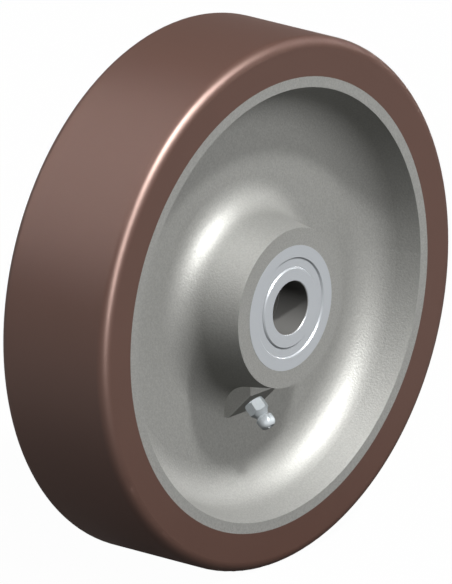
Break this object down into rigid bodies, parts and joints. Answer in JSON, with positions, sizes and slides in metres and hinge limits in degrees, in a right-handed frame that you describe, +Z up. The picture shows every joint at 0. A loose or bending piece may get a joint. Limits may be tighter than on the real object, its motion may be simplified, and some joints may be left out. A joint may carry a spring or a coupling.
{
  "type": "castor wheel",
  "caption": "Castor wheel with a bonded polyurethane tread on a cast centre, ball bearings in the hub and a grease nipple in an angled boss.",
  "frame": {"origin": "centre of the wheel, on the axle, half way between the bearings' outer ends", "axes": "+Y along the axle, away from the side that has the grease nipple; +Z up, with the nipple below"},
  "size_m": [0.2, 0.06, 0.2],
  "materials": {
    "tread": "satin brown cast polyurethane",
    "casting": "silver-grey lacquer on a fine cast grain",
    "bearing_steel": "ground bearing steel",
    "shield_steel": "pressed steel sheet",
    "ball_steel": "polished",
    "zinc": "bright zinc plate"
  },
  "bodies": {
    "root": {"front_inner_ring": "bearing_steel", "rear_inner_ring": "bearing_steel", "spacer_tube": "shield_steel"},
    "wheel": {"tread": "tread", "wheel_centre": "casting", "front_outer_ring": "bearing_steel", "rear_outer_ring": "bearing_steel", "front_shield": "shield_steel", "rear_shield": "shield_steel", "nipple_body": "zinc", "nipple_ball": "ball_steel", "nipple_spring": "shield_steel"},
    "front_cage": {"front_cage_outboard": "shield_steel", "front_cage_inboard": "shield_steel", "front_cage_rivets": "shield_steel"},
    "front_ball_1": {"front_ball_1": "ball_steel"},
    "front_ball_2": {"front_ball_2": "ball_steel"},
    "front_ball_3": {"front_ball_3": "ball_steel"},
    "front_ball_4": {"front_ball_4": "ball_steel"},
    "front_ball_5": {"front_ball_5": "ball_steel"},
    "front_ball_6": {"front_ball_6": "ball_steel"},
    "front_ball_7": {"front_ball_7": "ball_steel"},
    "front_ball_8": {"front_ball_8": "ball_steel"},
    "rear_cage": {"rear_cage_outboard": "shield_steel", "rear_cage_inboard": "shield_steel", "rear_cage_rivets": "shield_steel"},
    "rear_ball_1": {"rear_ball_1": "ball_steel"},
    "rear_ball_2": {"rear_ball_2": "ball_steel"},
    "rear_ball_3": {"rear_ball_3": "ball_steel"},
    "rear_ball_4": {"rear_ball_4": "ball_steel"},
    "rear_ball_5": {"rear_ball_5": "ball_steel"},
    "rear_ball_6": {"rear_ball_6": "ball_steel"},
    "rear_ball_7": {"rear_ball_7": "ball_steel"},
    "rear_ball_8": {"rear_ball_8": "ball_steel"}
  },
  "joints": [
    {"name": "wheel_spin", "type": "hinge", "parent": "root", "child": "wheel", "pos_m": [0, 0, 0], "axis": [0, 1, 0], "continuous": true},
    {"name": "front_cage_turn", "type": "hinge", "parent": "root", "child": "front_cage", "pos_m": [0, -0.023, 0], "axis": [0, 1, 0], "continuous": true},
    {"name": "front_ball_1_roll", "type": "hinge", "parent": "front_cage", "child": "front_ball_1", "pos_m": [0.0169, -0.023, 0], "axis": [0, 1, 0], "continuous": true},
    {"name": "front_ball_2_roll", "type": "hinge", "parent": "front_cage", "child": "front_ball_2", "pos_m": [0.01195, -0.023, 0.01195], "axis": [0, 1, 0], "continuous": true},
    {"name": "front_ball_3_roll", "type": "hinge", "parent": "front_cage", "child": "front_ball_3", "pos_m": [0, -0.023, 0.0169], "axis": [0, 1, 0], "continuous": true},
    {"name": "front_ball_4_roll", "type": "hinge", "parent": "front_cage", "child": "front_ball_4", "pos_m": [-0.01195, -0.023, 0.01195], "axis": [0, 1, 0], "continuous": true},
    {"name": "front_ball_5_roll", "type": "hinge", "parent": "front_cage", "child": "front_ball_5", "pos_m": [-0.0169, -0.023, 0], "axis": [0, 1, 0], "continuous": true},
    {"name": "front_ball_6_roll", "type": "hinge", "parent": "front_cage", "child": "front_ball_6", "pos_m": [-0.01195, -0.023, -0.01195], "axis": [0, 1, 0], "continuous": true},
    {"name": "front_ball_7_roll", "type": "hinge", "parent": "front_cage", "child": "front_ball_7", "pos_m": [0, -0.023, -0.0169], "axis": [0, 1, 0], "continuous": true},
    {"name": "front_ball_8_roll", "type": "hinge", "parent": "front_cage", "child": "front_ball_8", "pos_m": [0.01195, -0.023, -0.01195], "axis": [0, 1, 0], "continuous": true},
    {"name": "rear_cage_turn", "type": "hinge", "parent": "root", "child": "rear_cage", "pos_m": [0, 0.023, 0], "axis": [0, 1, 0], "continuous": true},
    {"name": "rear_ball_1_roll", "type": "hinge", "parent": "rear_cage", "child": "rear_ball_1", "pos_m": [-0.0169, 0.023, 0], "axis": [0, 1, 0], "continuous": true},
    {"name": "rear_ball_2_roll", "type": "hinge", "parent": "rear_cage", "child": "rear_ball_2", "pos_m": [-0.01195, 0.023, 0.01195], "axis": [0, 1, 0], "continuous": true},
    {"name": "rear_ball_3_roll", "type": "hinge", "parent": "rear_cage", "child": "rear_ball_3", "pos_m": [0, 0.023, 0.0169], "axis": [0, 1, 0], "continuous": true},
    {"name": "rear_ball_4_roll", "type": "hinge", "parent": "rear_cage", "child": "rear_ball_4", "pos_m": [0.01195, 0.023, 0.01195], "axis": [0, 1, 0], "continuous": true},
    {"name": "rear_ball_5_roll", "type": "hinge", "parent": "rear_cage", "child": "rear_ball_5", "pos_m": [0.0169, 0.023, 0], "axis": [0, 1, 0], "continuous": true},
    {"name": "rear_ball_6_roll", "type": "hinge", "parent": "rear_cage", "child": "rear_ball_6", "pos_m": [0.01195, 0.023, -0.01195], "axis": [0, 1, 0], "continuous": true},
    {"name": "rear_ball_7_roll", "type": "hinge", "parent": "rear_cage", "child": "rear_ball_7", "pos_m": [0, 0.023, -0.0169], "axis": [0, 1, 0], "continuous": true},
    {"name": "rear_ball_8_roll", "type": "hinge", "parent": "rear_cage", "child": "rear_ball_8", "pos_m": [-0.01195, 0.023, -0.01195], "axis": [0, 1, 0], "continuous": true}
  ],
  "couplings": [
    {"joint": "front_cage_turn", "follows": "wheel_spin", "ratio": 0.61743},
    {"joint": "front_ball_1_roll", "follows": "wheel_spin", "ratio": 2.0116},
    {"joint": "front_ball_2_roll", "follows": "wheel_spin", "ratio": 2.0116},
    {"joint": "front_ball_3_roll", "follows": "wheel_spin", "ratio": 2.0116},
    {"joint": "front_ball_4_roll", "follows": "wheel_spin", "ratio": 2.0116},
    {"joint": "front_ball_5_roll", "follows": "wheel_spin", "ratio": 2.0116},
    {"joint": "front_ball_6_roll", "follows": "wheel_spin", "ratio": 2.0116},
    {"joint": "front_ball_7_roll", "follows": "wheel_spin", "ratio": 2.0116},
    {"joint": "front_ball_8_roll", "follows": "wheel_spin", "ratio": 2.0116},
    {"joint": "rear_cage_turn", "follows": "wheel_spin", "ratio": 0.61743},
    {"joint": "rear_ball_1_roll", "follows": "wheel_spin", "ratio": 2.0116},
    {"joint": "rear_ball_2_roll", "follows": "wheel_spin", "ratio": 2.0116},
    {"joint": "rear_ball_3_roll", "follows": "wheel_spin", "ratio": 2.0116},
    {"joint": "rear_ball_4_roll", "follows": "wheel_spin", "ratio": 2.0116},
    {"joint": "rear_ball_5_roll", "follows": "wheel_spin", "ratio": 2.0116},
    {"joint": "rear_ball_6_roll", "follows": "wheel_spin", "ratio": 2.0116},
    {"joint": "rear_ball_7_roll", "follows": "wheel_spin", "ratio": 2.0116},
    {"joint": "rear_ball_8_roll", "follows": "wheel_spin", "ratio": 2.0116}
  ]
}
